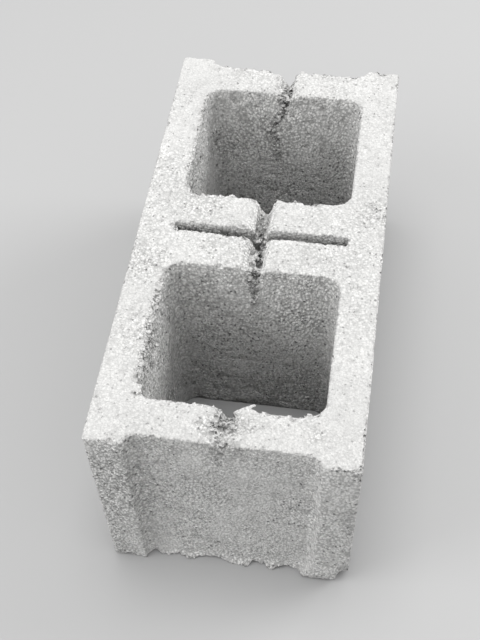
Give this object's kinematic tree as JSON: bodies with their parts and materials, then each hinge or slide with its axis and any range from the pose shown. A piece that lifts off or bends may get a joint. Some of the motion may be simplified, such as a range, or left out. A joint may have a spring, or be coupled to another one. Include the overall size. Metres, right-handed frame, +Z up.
{
  "type": "concrete block",
  "caption": "Hollow concrete masonry block with tapered open cells, recessed ends and a kerfed centre web for splitting it in half.",
  "frame": {"origin": "centre of the foot, the face that the block was moulded on and stands on", "axes": "+Z up, out of the wide mouths of the cells; +Y along the block, away from the chipped corner; +X across it, so that the chipped corner is at +X and -Y"},
  "size_m": [0.19, 0.39, 0.19],
  "materials": {
    "concrete": "matte"
  },
  "bodies": {
    "root": {"concrete_block": "concrete"}
  },
  "joints": []
}
